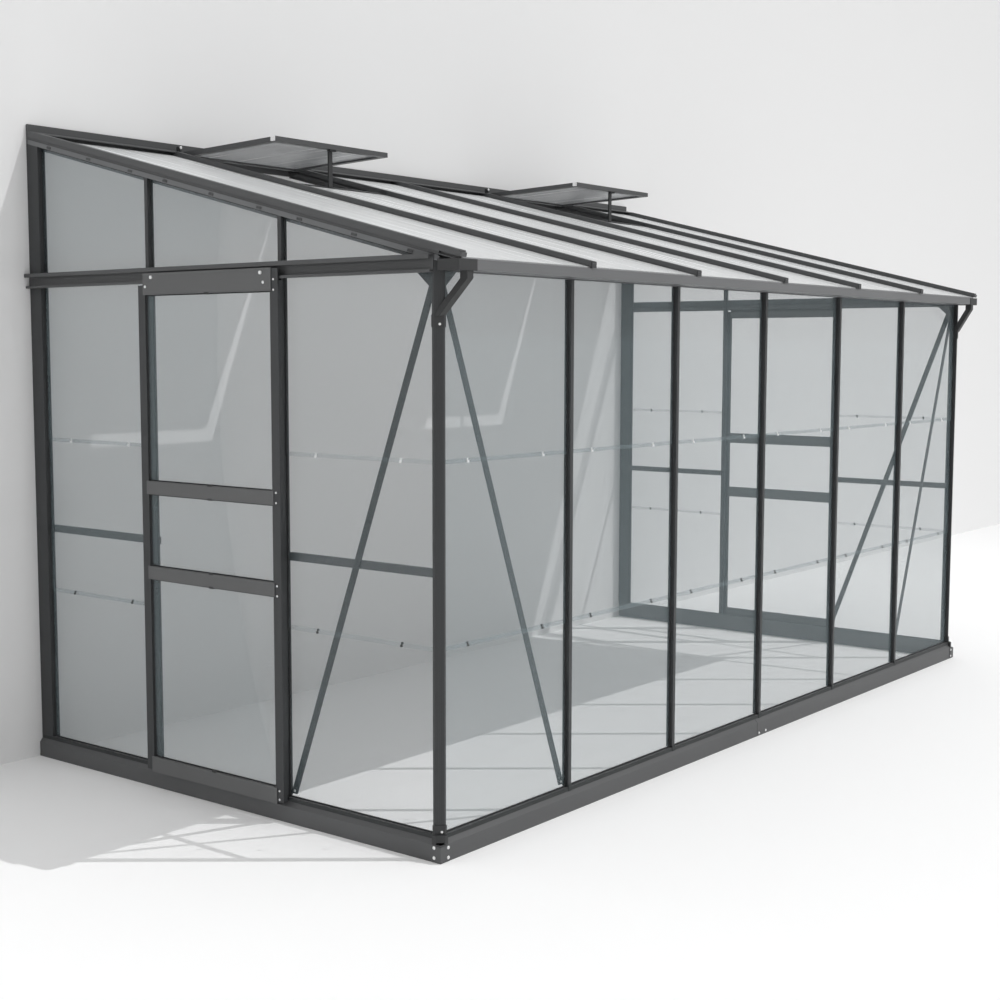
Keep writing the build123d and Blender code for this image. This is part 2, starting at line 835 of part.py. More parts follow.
with BuildPart() as vent_stays:
    stay_y = sill_front + stay_thickness
    stay_back = stay_y + stay_thickness / 2
    for bay in vent_bays:
        stay_x = bar_lines[bay] + front_bay / 2
        stay_top = vent_low + (vent_back - stay_back) * tan(vent_tilt)
        stay_low = roof_height(stay_back, vent_sill_rise)
        stay = box_outline(
            stay_x - stay_width / 2,
            stay_x + stay_width / 2,
            stay_y - stay_thickness / 2,
            stay_y + stay_thickness / 2,
        )
        extrude_outline(stay, Plane.XY.offset(stay_low), stay_top - stay_low)
save(vent_stays, "vent_stays")

# Lapped wall panes: each leans out by its thickness, so that it laps over the pane below
pane_low = base_height - glass_rebate
pane_high = eave_height + eave_rebate - pane_gap
tier_height = (pane_high - pane_low - pane_lap) / pane_tiers
head_face = -slot_depth + glass_thickness
foot_face = head_face + glass_thickness + lap_gap


def lapped_pane(plane, width, tier):
    """One pane of a tier, with its head against the bars' flanges and its foot further out."""
    low = pane_low + tier * tier_height
    high = low + tier_height + pane_lap
    leaning = [
        (foot_face - glass_thickness, low),
        (foot_face, low),
        (head_face, high),
        (head_face - glass_thickness, high),
    ]
    extrude_outline(leaning, plane, width)


corner_edge = post_inner + pane_gap
front_starts = [bar_lines[0] + corner_edge] + [x + pane_edge for x in bar_lines[1:-1]]
front_ends = [x - pane_edge for x in bar_lines[1:-1]] + [bar_lines[-1] - corner_edge]
gable_starts = [post_lines[0] + corner_edge] + [y + pane_edge for y in post_lines[1:-1]]
gable_ends = [y - pane_edge for y in post_lines[1:-1]] + [wall_y - wall_post_width - pane_gap]

for tier, tier_name in enumerate(("lower", "middle", "upper")):
    with BuildPart() as front_panes:
        for start, end in zip(front_starts, front_ends):
            lapped_pane(front_section(end), end - start, tier)
    save(front_panes, f"front_glass_{tier_name}")

with BuildPart() as left_gable_glass:
    for bay in glazed_bays:
        for tier in range(pane_tiers):
            width = gable_ends[bay] - gable_starts[bay]
            lapped_pane(gable_section(gable_starts[bay]), width, tier)
save(left_gable_glass, "left_gable_glass")

with BuildPart() as right_gable_glass:
    mirror(left_gable_glass.part, about=Plane.YZ)
save(right_gable_glass, "right_gable_glass")

with BuildPart() as left_gable_top_glass:
    top_face = Plane(origin=(gable_x + slot_depth, 0, 0), x_dir=(0, 1, 0), z_dir=(1, 0, 0))
    top_pane_low = eave_height + top_pane_rise
    for start, end in zip(gable_starts, gable_ends):
        sloped = [
            (start, top_pane_low),
            (end, top_pane_low),
            (end, roof_height(end, -top_pane_drop)),
            (start, roof_height(start, -top_pane_drop)),
        ]
        extrude_outline(sloped, top_face, -glass_thickness)
save(left_gable_top_glass, "left_gable_top_glass")

with BuildPart() as right_gable_top_glass:
    mirror(left_gable_top_glass.part, about=Plane.YZ)
save(right_gable_top_glass, "right_gable_top_glass")

# Sliding door of the left gable, shut
door_start = door_y - door_width / 2
door_end = door_y + door_width / 2
door_foot = base_sill_height
stile_top = header_low - stile_drop
top_rail_low = stile_top - top_rail_height
upper_rail_low = eave_height * upper_rail_share
upper_rail_high = upper_rail_low + mid_rail_height
lower_rail_low = eave_height * lower_rail_share
lower_rail_high = lower_rail_low + mid_rail_height
bottom_rail_high = base_height + bottom_rail_rise
door_groove_back = door_back + door_groove_inset
door_groove_front = door_groove_back + glass_thickness + door_pane_gap
roller_lines = (door_start + roller_inset, door_end - roller_inset)
axle_z = header_low + track_lip + roller_tread + roller_clearance
stile_edge = door_start + stile_width

with BuildPart() as left_door_stiles:
    stile = grooved_outline(
        stile_width, door_back, door_front, door_groove, door_groove_back, door_groove_front
    )
    extrude_outline(stile, gable_plan(door_start, door_foot), stile_top - door_foot)
    mirror(about=Plane(origin=(gable_x, door_y, 0), z_dir=(0, 1, 0)))
save(left_door_stiles, "left_door_stiles")


def axle_disc(y, radius, near, far, mode):
    """A disc round a roller's axle, between two distances out from the left glazing line."""
    face = Plane(origin=(gable_x - near, y, axle_z), z_dir=(-1, 0, 0))
    with BuildSketch(face) as disc:
        Circle(radius)
    extrude(disc.sketch, amount=far - near, dir=face.z_dir, mode=mode)


def door_rail(low, high, plate_low, plate_high, has_groove_below, has_groove_above):
    """A rail between the stiles, glass grooves in its edges, with a plate over the stiles."""
    points = [(door_front, low), (door_front, high)]
    if has_groove_above:
        points += [
            (door_groove_front, high),
            (door_groove_front, high - door_groove),
            (door_groove_back, high - door_groove),
            (door_groove_back, high),
        ]
    points += [(door_back, high), (door_back, low)]
    if has_groove_below:
        points += [
            (door_groove_back, low),
            (door_groove_back, low + door_groove),
            (door_groove_front, low + door_groove),
            (door_groove_front, low),
        ]
    extrude_outline(points, gable_section(stile_edge), door_width - 2 * stile_width)
    plate = box_outline(door_front, door_face, plate_low, plate_high)
    extrude_outline(plate, gable_section(door_start + rail_inset), door_width - 2 * rail_inset)


with BuildPart() as left_door_rails:
    door_rail(top_rail_low, stile_top, top_rail_low, header_low + top_plate_rise, True, False)
    door_rail(upper_rail_low, upper_rail_high, upper_rail_low, upper_rail_high, True, True)
    door_rail(lower_rail_low, lower_rail_high, lower_rail_low, lower_rail_high, True, True)
    door_rail(door_foot, bottom_rail_high, bottom_plate_low, bottom_rail_high, False, True)
    for y in roller_lines:
        axle_disc(y, roller_hub + roller_clearance, door_front, door_face, Mode.SUBTRACT)
save(left_door_rails, "left_door_rails")

with BuildPart() as left_door_glass:
    rail_tops = (bottom_rail_high, lower_rail_high, upper_rail_high)
    rail_feet = (lower_rail_low, upper_rail_low, top_rail_low)
    sunk = door_groove - door_pane_gap
    for below, above in zip(rail_tops, rail_feet):
        pane = box_outline(
            door_groove_back,
            door_groove_back + glass_thickness,
            below - door_groove,
            above + sunk,
        )
        extrude_outline(pane, gable_section(stile_edge - sunk), door_width - 2 * (stile_width - sunk))
save(left_door_glass, "left_door_glass")


with BuildPart() as left_door_rollers:
    groove_centre = cap_depth + track_reach - header_plate / 2
    groove_near = groove_centre - roller_groove / 2
    groove_far = groove_centre + roller_groove / 2
    for y in roller_lines:
        axle_disc(y, roller_flange, groove_near - roller_rim, groove_near, Mode.ADD)
        axle_disc(y, roller_tread, groove_near, groove_far, Mode.ADD)
        axle_disc(y, roller_flange, groove_far, groove_far + roller_rim, Mode.ADD)
        axle_disc(y, roller_hub, groove_far + roller_rim, door_face, Mode.ADD)
        axle_disc(y, axle_head, door_face, door_face + axle_head_height, Mode.ADD)
save(left_door_rollers, "left_door_rollers")

# Door of the right gable, the mirror image
with BuildPart() as right_door_stiles:
    mirror(left_door_stiles.part, about=Plane.YZ)
save(right_door_stiles, "right_door_stiles")

with BuildPart() as right_door_rails:
    mirror(left_door_rails.part, about=Plane.YZ)
save(right_door_rails, "right_door_rails")

with BuildPart() as right_door_glass:
    mirror(left_door_glass.part, about=Plane.YZ)
save(right_door_glass, "right_door_glass")

with BuildPart() as right_door_rollers:
    mirror(left_door_rollers.part, about=Plane.YZ)
save(right_door_rollers, "right_door_rollers")
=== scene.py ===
import math

import bmesh
import bpy
from mathutils import Matrix, Vector


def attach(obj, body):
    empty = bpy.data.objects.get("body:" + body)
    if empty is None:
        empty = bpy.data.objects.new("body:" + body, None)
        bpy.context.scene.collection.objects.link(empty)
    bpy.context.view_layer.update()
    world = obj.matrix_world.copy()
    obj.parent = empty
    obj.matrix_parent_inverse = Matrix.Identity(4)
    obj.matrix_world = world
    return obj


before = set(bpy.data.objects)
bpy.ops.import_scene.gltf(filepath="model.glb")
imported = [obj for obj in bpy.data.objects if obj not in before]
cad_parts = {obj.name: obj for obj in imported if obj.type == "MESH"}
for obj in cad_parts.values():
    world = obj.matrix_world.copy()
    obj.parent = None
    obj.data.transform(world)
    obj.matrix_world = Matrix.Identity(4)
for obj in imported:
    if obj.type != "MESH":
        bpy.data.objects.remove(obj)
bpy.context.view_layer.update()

# Lean-to greenhouse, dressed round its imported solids. Metres; X along the front, +Y to the wall side, Z up.
# Places shared with the solids: glazing lines, bar lines and heights.
GABLE = 1.860
FRONT = -0.883
BACK = 0.975
BAR_LINES = [-1.240, -0.620, 0.0, 0.620, 1.240]
POST_LINES = [-0.271, 0.341]
BASE_TOP = 0.077
EAVE = 1.664
ROOF_AT_FRONT = 1.7211
ROOF_PITCH = math.radians(14.04)
ROOF_SLOPE = math.tan(ROOF_PITCH)
ROOF_COS = math.cos(ROOF_PITCH)
CAP_REACH = 0.012
CAP_HALF = 0.0075
POST_EDGE = 1.846
GABLE_FRONT_EDGE = -0.869
GABLE_BACK_EDGE = 0.913
STILE_LINE = -0.270
DOOR_PANE_FRONT = -0.254
DOOR_PANE_BACK = 0.324
DOOR_PANES = [(0.109, 0.702), (0.745, 0.981), (1.024, 1.623)]
STILE_FACE = -GABLE - 0.037
PLATE_FACE = -GABLE - 0.040
DOOR_GLASS = -GABLE - 0.029
PANE_LOWS = [0.070, 0.600, 1.130]
PANE_HEIGHT = 0.542
PANE_LEAN = 0.0035
LEFT = Vector((-1.0, 0.0, 0.0))
AHEAD = Vector((0.0, -1.0, 0.0))
UP = Vector((0.0, 0.0, 1.0))
SLANT = Vector((-1.0, -1.0, 0.0)).normalized()
ROOF_OUT = Vector((0.0, -math.sin(ROOF_PITCH), ROOF_COS))


class Tone:
    """A shader value that adds Math nodes as it is used in sums and products."""

    def __init__(self, finish, socket):
        self.finish = finish
        self.socket = socket

    def math(self, operation, *values):
        sockets = {place: value for place, value in enumerate(values)}
        return self.finish.add("ShaderNodeMath", {"operation": operation}, sockets)

    def __add__(self, other):
        return self.math("ADD", self, other)

    def __radd__(self, other):
        return self.math("ADD", other, self)

    def __sub__(self, other):
        return self.math("SUBTRACT", self, other)

    def __rsub__(self, other):
        return self.math("SUBTRACT", other, self)

    def __mul__(self, other):
        return self.math("MULTIPLY", self, other)

    def __rmul__(self, other):
        return self.math("MULTIPLY", other, self)

    def __truediv__(self, other):
        return self.math("DIVIDE", self, other)

    def __rtruediv__(self, other):
        return self.math("DIVIDE", other, self)

    def __pow__(self, other):
        return self.math("POWER", self, other)

    def __abs__(self):
        return self.math("ABSOLUTE", self)

    def above(self, edge):
        return self.math("GREATER_THAN", self, edge)

    def below(self, edge):
        return self.math("LESS_THAN", self, edge)

    def folded(self, pitch):
        return self.math("PINGPONG", self, pitch)


class Finish:
    """A material, its node tree and its main shader."""

    def __init__(self, name):
        self.material = bpy.data.materials.new(name)
        self.material.use_nodes = True
        self.tree = self.material.node_tree
        self.shader = self.tree.nodes["Principled BSDF"]
        self.output = self.tree.nodes["Material Output"]

    def add(self, kind, settings=None, sockets=None, out=0):
        """Add a node, set it up, fill its sockets with values or links, and give one of its outputs."""
        node = self.tree.nodes.new(kind)
        for key, value in (settings or {}).items():
            setattr(node, key, value)
        self.fill(node, sockets or {})
        return Tone(self, node.outputs[out])

    def fill(self, node, sockets):
        for key, value in sockets.items():
            if isinstance(value, Tone):
                self.tree.links.new(value.socket, node.inputs[key])
            else:
                node.inputs[key].default_value = value

    def set(self, **sockets):
        """Fill sockets of the main shader; a word's underscores stand for spaces."""
        self.fill(self.shader, {key.replace("_", " "): value for key, value in sockets.items()})
        return self

    def place(self):
        return self.add("ShaderNodeTexCoord", out="Object")

    def axes(self, vector):
        split = self.add("ShaderNodeSeparateXYZ", {}, {0: vector}).socket.node
        return [Tone(self, output) for output in split.outputs]

    def noise(self, vector, scale, detail=2.0, roughness=0.5):
        sockets = {"Vector": vector, "Scale": scale, "Detail": detail, "Roughness": roughness}
        return self.add("ShaderNodeTexNoise", {}, sockets, "Fac")

    def stretched(self, vector, scale):
        return self.add("ShaderNodeMapping", {}, {"Vector": vector, "Scale": scale})

    def shaded(self, colour, tone):
        """A colour made lighter or darker by a tone."""
        settings = {"data_type": "RGBA", "blend_type": "MULTIPLY"}
        return self.add("ShaderNodeMix", settings, {0: 1.0, 6: (*colour, 1.0), 7: tone}, 2)

    def blended(self, mask, first, second):
        colours = {6: first, 7: second}
        full = {k: v if isinstance(v, Tone) else (*v, 1.0) for k, v in colours.items()}
        return self.add("ShaderNodeMix", {"data_type": "RGBA"}, {0: mask, **full}, 2)

    def bump(self, height, distance, strength=1.0):
        return self.add("ShaderNodeBump", {}, {"Strength": strength, "Distance": distance, "Height": height})


def powder_coat(name, shade, stretch, roughness=0.45, painted_veil_strength=0.0):
    """Satin powder coat on a drawn section: fine grain, faint clouds and draw lines along the section.
    On the edge rafters a skirt value paints the stepped-back lower band lighter as a painted glass veil, and
    paints a thin dark line at the step as painted shade."""
    coat = Finish(name)
    place = coat.place()
    grain = coat.noise(place, 900.0)
    cloud = coat.noise(place, 2.5)
    draw = coat.noise(coat.stretched(place, stretch), 1.0, 3.0)
    tone = 0.80 + 0.22 * cloud + 0.14 * draw + 0.04 * grain
    if painted_veil_strength:
        # Painted light on the edge rafters: the band below the step is painted lighter as a painted glass
        # veil, and the line at the step is painted darker as painted shade.
        _, y, z = coat.axes(place)
        rise = z - y * ROOF_SLOPE - (ROOF_AT_FRONT - FRONT * ROOF_SLOPE)
        painted_step_shade = abs(rise + 0.012).below(0.0012)
        tone = tone * (1.0 + painted_veil_strength * rise.below(-0.012)) * (1.0 - 0.6 * painted_step_shade)
    coat.set(
        Base_Color=coat.shaded(shade, tone),
        Roughness=roughness - 0.08 + 0.12 * draw + 0.06 * grain,
        Normal=coat.bump(grain, 0.0002, 0.25),
        Metallic=0.0,
    )
    return coat.material


ALONG_X = (4.0, 260.0, 260.0)
ALONG_Y = (260.0, 4.0, 260.0)
ALONG_Z = (260.0, 260.0, 4.0)


def moulded(name, shade, roughness=0.5):
    """Moulded plastic with a fine leathery texture."""
    moulding = Finish(name)
    place = moulding.place()
    cells = moulding.add("ShaderNodeTexVoronoi", {}, {"Vector": place, "Scale": 700.0}, "Distance")
    cloud = moulding.noise(place, 14.0)
    moulding.set(
        Base_Color=moulding.shaded(shade, 0.86 + 0.28 * cloud),
        Roughness=roughness + 0.1 * cells,
        Normal=moulding.bump(cells, 0.0003, 0.2),
    )
    return moulding.material


def pane_glass(name, across):
    """Clear float glass with a cool tint, whose cut edges are painted light green, the glass's own edge tint
    with a painted highlight, and which lets light fall through almost whole;
    across is the axis through its faces."""
    glass = Finish(name)
    place = glass.place()
    facing = glass.axes(glass.add("ShaderNodeNewGeometry", out="True Normal"))[across]
    # The cut edges are painted light green: the glass's own edge tint, and a painted highlight.
    edge = abs(facing).below(0.5)
    smear = glass.noise(place, 1.6, 1.0)
    glare = glass.add("ShaderNodeLayerWeight", {}, {"Blend": 0.25}, "Fresnel")
    sunlight = glass.add("ShaderNodeLightPath", out="Is Shadow Ray")
    skylight = glass.add("ShaderNodeLightPath", out="Is Diffuse Ray")
    body = 0.088 + 0.02 * smear + 0.20 * glare + 0.10 * edge
    glass.set(
        Base_Color=glass.blended(edge, (0.22, 0.28, 0.30), (0.60, 0.70, 0.71)),
        Alpha=body * (1.0 - 0.75 * (sunlight + skylight)),
        Roughness=0.03 + 0.05 * smear,
        IOR=1.52,
    )
    return glass.material


def fluted_sheet(name, base, flute=1.0):
    """Clear twin-wall sheet: two skins joined by fine ribs that run down the slope."""
    sheet = Finish(name)
    place = sheet.place()
    along = sheet.axes(place)[0]
    rib = along.folded(0.0055) / 0.0055
    line = (1.0 - rib) ** 6.0
    streak = sheet.noise(sheet.stretched(place, (60.0, 1.2, 1.2)), 1.0, 3.0)
    sheet.set(
        Base_Color=sheet.shaded(base, 0.97 + flute * (0.14 * streak - 0.07)),
        Alpha=0.84 + 0.10 * line + 0.05 * streak,
        Roughness=0.16 + 0.18 * streak,
        Normal=sheet.bump(line, 0.0006, 0.5 * flute),
        IOR=1.58,
    )
    return sheet.material


def zinc(name, shade):
    """Plated steel of the bolts and clips."""
    plate = Finish(name)
    place = plate.place()
    spangle = plate.noise(place, 420.0, 3.0)
    plate.set(
        Base_Color=plate.shaded((shade, shade, shade), 0.85 + 0.3 * spangle),
        Metallic=0.3,
        Roughness=0.28 + 0.2 * spangle,
    )
    return plate.material


def axled_nylon(name):
    """Dark roller nylon, with the bright heads of the axles outside the plate."""
    nylon = Finish(name)
    place = nylon.place()
    cloud = nylon.noise(place, 60.0)
    head = abs(nylon.axes(place)[0]).above(GABLE + 0.0398)
    dark = nylon.shaded((0.030, 0.030, 0.031), 0.8 + 0.4 * cloud)
    bright = nylon.shaded((0.88, 0.88, 0.88), 0.85 + 0.3 * cloud)
    nylon.set(
        Base_Color=nylon.blended(head, dark, bright),
        Metallic=0.3 * head,
        Roughness=0.42 - 0.1 * head + 0.1 * cloud,
    )
    return nylon.material


def rubber(name):
    """Black glazing rubber with a dull bloom."""
    seal = Finish(name)
    bloom = seal.noise(seal.place(), 120.0, 3.0)
    seal.set(
        Base_Color=seal.shaded((0.018, 0.019, 0.020), 0.7 + 0.8 * bloom),
        Roughness=0.55 + 0.25 * bloom,
    )
    return seal.material


ANTHRACITE = (0.070, 0.072, 0.074)
finishes = {
    "x_section": powder_coat("frame_coat_along_x", ANTHRACITE, ALONG_X),
    "y_section": powder_coat("frame_coat_along_y", ANTHRACITE, ALONG_Y),
    "z_section": powder_coat("frame_coat_along_z", (0.035, 0.037, 0.039), ALONG_Z),
    "base_x": powder_coat("base_coat_along_x", (0.083, 0.085, 0.087), ALONG_X),
    "base_y": powder_coat("base_coat_along_y", (0.083, 0.085, 0.087), ALONG_Y),
    # Edge rafters: a painted glass veil on the lower band and a painted shade line at the step.
    "edge_rafter": powder_coat("edge_rafter_coat_painted_veil", ANTHRACITE, ALONG_Y, 0.45, 1.0),
    "gutter": powder_coat("gutter_coat", (0.150, 0.153, 0.157), ALONG_X),
    "door_y": powder_coat("door_coat_along_y", (0.105, 0.107, 0.108), ALONG_Y),
    "moulding": moulded("dark_moulding", (0.029, 0.030, 0.031)),
    "roller": axled_nylon("roller_nylon"),
    "front_glass": pane_glass("front_pane_glass", 1),
    "gable_glass": pane_glass("gable_pane_glass", 0),
    "roof_sheet": fluted_sheet("roof_twin_wall", (0.76, 0.775, 0.78)),
    # The vent panes are the roof's twin-wall sheet, painted darker as painted shade on their undersides.
    "vent_sheet_painted_shade": fluted_sheet("vent_twin_wall_painted_shade", (0.46, 0.47, 0.48), 0.2),
    "zinc": zinc("bright_zinc", 0.88),
    # A dark copy of the zinc, for lap clips painted dark as painted shade.
    "painted_shade_zinc": zinc("painted_shade_zinc", 0.06),
    "rubber": rubber("glazing_rubber"),
    "seal": moulded("base_seal_strip", (0.020, 0.023, 0.024)),
}

finish_of_node = {
    "base_front_rail": "base_x",
    "base_left_rail": "base_y",
    "base_right_rail": "base_y",
    "base_corner_plates": "base_x",
    "corner_posts": "z_section",
    "corner_shoes": "moulding",
    "wall_posts": "z_section",
    "front_glazing_bars": "z_section",
    "left_gable_posts": "z_section",
    "right_gable_posts": "z_section",
    "front_eave_beam": "x_section",
    "left_gable_header": "y_section",
    "right_gable_header": "y_section",
    "left_gable_rails": "y_section",
    "right_gable_rails": "y_section",
    "corner_braces": "z_section",
    "front_gutter": "gutter",
    "gutter_outlets": "moulding",
    "roof_rafters": "y_section",
    "left_gable_rafter": "edge_rafter",
    "right_gable_rafter": "edge_rafter",
    "wall_bar": "x_section",
    "roof_sheets": "roof_sheet",
    # Painted shade: the vent sills wear the dark moulding finish to paint the shade inside the vent openings.
    "vent_sills": "moulding",
    "left_vent_side_bars": "y_section",
    "right_vent_side_bars": "y_section",
    "left_vent_cross_bars": "x_section",
    "right_vent_cross_bars": "x_section",
    "vent_panes": "vent_sheet_painted_shade",
    "vent_stays": "moulding",
    "front_glass_lower": "front_glass",
    "front_glass_middle": "front_glass",
    "front_glass_upper": "front_glass",
    "left_gable_glass": "gable_glass",
    "right_gable_glass": "gable_glass",
    "left_gable_top_glass": "gable_glass",
    "right_gable_top_glass": "gable_glass",
    "left_door_stiles": "z_section",
    "right_door_stiles": "z_section",
    "left_door_rails": "door_y",
    "right_door_rails": "door_y",
    "left_door_glass": "gable_glass",
    "right_door_glass": "gable_glass",
    "left_door_rollers": "roller",
    "right_door_rollers": "roller",
}
for node, finish in finish_of_node.items():
    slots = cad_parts[node].data.materials
    slots.clear()
    slots.append(finishes[finish])


# Fittings: each pattern is modelled once, copied to its places and joined to one piece per body
def block(size, centre):
    """Cube primitive of a size at a place, left in edit mode with nothing else selected."""
    bpy.ops.object.select_all(action="DESELECT")
    bpy.ops.mesh.primitive_cube_add(size=1.0, location=centre, scale=size)
    bpy.ops.object.transform_apply(location=True, rotation=True, scale=True)
    bpy.ops.object.mode_set(mode="EDIT")


def pick_faces(test):
    """Select the faces whose middle and normal pass a test."""
    bpy.ops.mesh.select_mode(type="FACE")
    bpy.ops.mesh.select_all(action="DESELECT")
    mesh = bpy.context.object.data
    shape = bmesh.from_edit_mesh(mesh)
    for face in shape.faces:
        if test(face.calc_center_median(), face.normal):
            face.select_set(True)
    bmesh.update_edit_mesh(mesh)


def pick_edges(test):
    """Select the edges whose middle and direction pass a test."""
    bpy.ops.mesh.select_mode(type="EDGE")
    bpy.ops.mesh.select_all(action="DESELECT")
    mesh = bpy.context.object.data
    shape = bmesh.from_edit_mesh(mesh)
    for edge in shape.edges:
        first, second = (vertex.co for vertex in edge.verts)
        if test((first + second) / 2, (second - first).normalized()):
            edge.select_set(True)
    bmesh.update_edit_mesh(mesh)


def push(move):
    bpy.ops.mesh.extrude_region_move(TRANSFORM_OT_translate={"value": move})


def modelled():
    """Leave edit mode with clean outward faces and give the pattern."""
    bpy.ops.mesh.select_all(action="SELECT")
    bpy.ops.mesh.normals_make_consistent(inside=False)
    bpy.ops.object.mode_set(mode="OBJECT")
    return bpy.context.object


def bolt():
    """Pan-head bolt on a washer, standing on its own +Z."""
    bpy.ops.object.select_all(action="DESELECT")
    bpy.ops.mesh.primitive_cylinder_add(vertices=12, radius=0.0058, depth=0.0012, location=(0.0, 0.0, 0.0006))
    bpy.ops.object.transform_apply(location=True, rotation=True, scale=True)
    bpy.ops.object.mode_set(mode="EDIT")
    pick_faces(lambda middle, normal: normal.z > 0.9)
    bpy.ops.mesh.inset(thickness=0.0014)
    push((0.0, 0.0, 0.0016))
    push((0.0, 0.0, 0.0010))
    bpy.ops.transform.resize(value=(0.7, 0.7, 1.0), center_override=(0.0, 0.0, 0.0))
    return modelled()


def strip(width, height, edge):
    """Metre-long strip along its own +Z, its two outer edges on the +Y side rounded off."""
    block((width, height, 1.0), (0.0, height / 2, 0.5))
    pick_edges(lambda middle, way: abs(way.z) > 0.9 and middle.y > height * 0.9)
    bpy.ops.mesh.bevel(offset=edge, segments=2, affect="EDGES")
    return modelled()


def rafter_cover():
    """Metre-long cover strip of a rafter, rounded, with a shallow groove along its top."""
    block((0.024, 0.005, 1.0), (0.0, 0.0025, 0.5))
    pick_edges(lambda middle, way: abs(way.z) > 0.9 and middle.y > 0.004)
    bpy.ops.mesh.bevel(offset=0.0015, segments=2, affect="EDGES")
    pick_faces(lambda middle, normal: normal.y > 0.95)
    bpy.ops.mesh.inset(thickness=0.005)
    bpy.ops.transform.translate(value=(0.0, -0.002, 0.0))
    return modelled()


def tab(width, height, depth, edge):
    """Flat plate standing on its own +Z face, with its outer rim rounded off."""
    block((width, height, depth), (0.0, 0.0, depth / 2))
    pick_edges(lambda middle, way: abs(way.z) > 0.9 or middle.z > depth * 0.9)
    bpy.ops.mesh.bevel(offset=edge, segments=2, affect="EDGES")
    return modelled()


def rimmed_clip():
    """Small spring clip: a plate with a raised rim round a sunk middle."""
    block((0.020, 0.008, 0.002), (0.0, 0.0, 0.001))
    pick_faces(lambda middle, normal: normal.z > 0.9)
    bpy.ops.mesh.inset(thickness=0.0016)
    push((0.0, 0.0, -0.0013))
    return modelled()


def knuckle():
    """Hinge knuckle: an upright lug with a boss on its front, standing on its own XY plane."""
    block((0.014, 0.012, 0.022), (0.0, 0.0, 0.011))
    pick_faces(lambda middle, normal: normal.y < -0.9)
    bpy.ops.mesh.inset(thickness=0.003)
    push((0.0, -0.005, 0.0))
    pick_edges(lambda middle, way: abs(way.x) > 0.9 and middle.z > 0.020)
    bpy.ops.mesh.bevel(offset=0.004, segments=2, affect="EDGES")
    return modelled()


def lap_clip():
    """Spring steel clip, bent to an S round the lap of two panes.
    Its +Y side faces out, and its own origin lies at the outer pane's foot."""
    bpy.ops.object.select_all(action="DESELECT")
    turn = (math.radians(90.0), 0.0, 0.0)
    place = (0.0, 0.0006, 0.0027)
    bpy.ops.mesh.primitive_plane_add(size=0.0066, location=place, rotation=turn)
    bpy.ops.object.transform_apply(location=True, rotation=True, scale=True)
    bpy.ops.object.mode_set(mode="EDIT")
    bpy.ops.transform.resize(value=(0.9, 1.0, 1.0), center_override=place)
    pick_edges(lambda middle, way: middle.z < 0.0)
    for move in [(0.0, -0.0038, 0.0), (0.0, 0.0, 0.0136), (0.0, -0.0038, 0.0), (0.0, 0.0, -0.0060)]:
        push(move)
    bpy.ops.object.mode_set(mode="OBJECT")
    wall = bpy.context.object.modifiers.new("wall", "SOLIDIFY")
    wall.thickness = 0.0007
    wall.offset = 0.0
    bpy.ops.object.modifier_apply(modifier="wall")
    bpy.ops.object.mode_set(mode="EDIT")
    return modelled()


def roof_height(y, rise):
    """Height, at a depth y, of the plane a rise above the roof sheets."""
    return ROOF_AT_FRONT + (y - FRONT) * ROOF_SLOPE + rise / ROOF_COS


def spot(place, out, up=UP, size=1.0):
    """Place for a pattern that stands on its own +Z: it faces out, with its +Y side up."""
    side = up.cross(out).normalized()
    turn = Matrix((side, out.cross(side), out)).transposed().to_4x4()
    return Matrix.Translation(place) @ turn @ Matrix.Scale(size, 4)


def run(start, end, out):
    """Place for a metre-long pattern, stretched from start to end with its +Y side out."""
    along = Vector(end) - Vector(start)
    side = out.cross(along).normalized()
    turn = Matrix((side, out, along)).transposed().to_4x4()
    return Matrix.Translation(start) @ turn


MIRROR = Matrix.Scale(-1.0, 4, (1.0, 0.0, 0.0))


def mirrored(places):
    return [MIRROR @ place for place in places]


def both(places):
    return places + mirrored(places)


def set_out(pattern, places, name, body, finish):
    """Copy a pattern to its places, join the copies and let the piece ride on a body."""
    copies = []
    for place in places:
        copy = bpy.data.objects.new(name, pattern.data.copy())
        bpy.context.scene.collection.objects.link(copy)
        copy.data.transform(place)
        if place.determinant() < 0:
            copy.data.flip_normals()
        copies.append(copy)
    bpy.ops.object.select_all(action="DESELECT")
    for copy in copies:
        copy.select_set(True)
    bpy.context.view_layer.objects.active = copies[0]
    bpy.ops.object.join()
    piece = bpy.context.object
    piece.name = name
    piece.data.materials.clear()
    piece.data.materials.append(finishes[finish])
    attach(piece, body)


def clear_away(*patterns):
    for pattern in patterns:
        bpy.data.objects.remove(pattern)


def pane_runs(foot, out):
    """Runs up the outer faces of the three leaning panes, from the base to the eave."""
    runs = []
    tops = PANE_LOWS[1:] + [EAVE]
    for low, top in zip(PANE_LOWS, tops):
        start = max(low, BASE_TOP)
        near = 0.0007 + PANE_LEAN * (start - low) / PANE_HEIGHT
        far = 0.0007 + PANE_LEAN * (top - low) / PANE_HEIGHT
        runs.append(run(foot - out * near + UP * start, foot - out * far + UP * top, out))
    return runs


